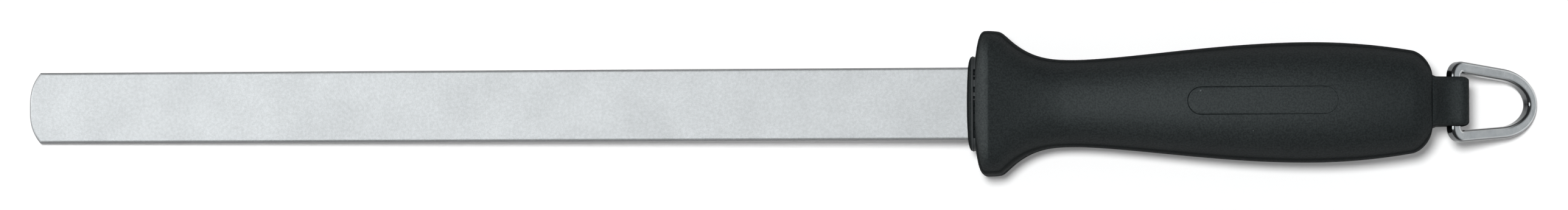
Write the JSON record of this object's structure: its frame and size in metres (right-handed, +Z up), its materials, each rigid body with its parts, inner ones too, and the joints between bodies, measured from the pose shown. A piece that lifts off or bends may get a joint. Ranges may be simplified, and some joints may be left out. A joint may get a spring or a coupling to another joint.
{
  "type": "knife sharpening steel",
  "caption": "Flat diamond-coated sharpening steel with a rounded tip, a moulded black handle with a wide finger guard, and a swinging wire ring to hang it by.",
  "frame": {"origin": "middle of the footprint, on the plane that the tool lies on: the tip, the guard and the end of the ring touch it", "axes": "+X along the tool from the tip to the ring as it lies on a table, so the blade itself rises 2.69 degrees towards +X; +Y across the flat of the blade; +Z up"},
  "size_m": [0.417, 0.0396, 0.0327],
  "materials": {
    "diamond_coat": "matt grey, fine diamond grit plated on steel",
    "collar_plastic": "black moulded plastic",
    "seal_rubber": "black rubber",
    "core_plastic": "dark grey moulded plastic, hidden",
    "pin_steel": "plain steel, hidden",
    "black_plastic": "black moulded plastic with a fine grain",
    "nickel_wire": "nickel-plated square wire"
  },
  "bodies": {
    "tool": {"blade": "diamond_coat", "front_collar": "collar_plastic", "collar_seal": "seal_rubber", "tang_core": "core_plastic", "tang_pin_front": "pin_steel", "tang_pin_rear": "pin_steel", "handle_grip": "black_plastic"},
    "ring": {"hanging_ring": "nickel_wire"}
  },
  "joints": [
    {"name": "ring_swing", "type": "hinge", "parent": "tool", "child": "ring", "pos_m": [0.18477, 0, 0.02097], "axis": [0, -1, 0], "range_deg": [-75, 165]}
  ]
}
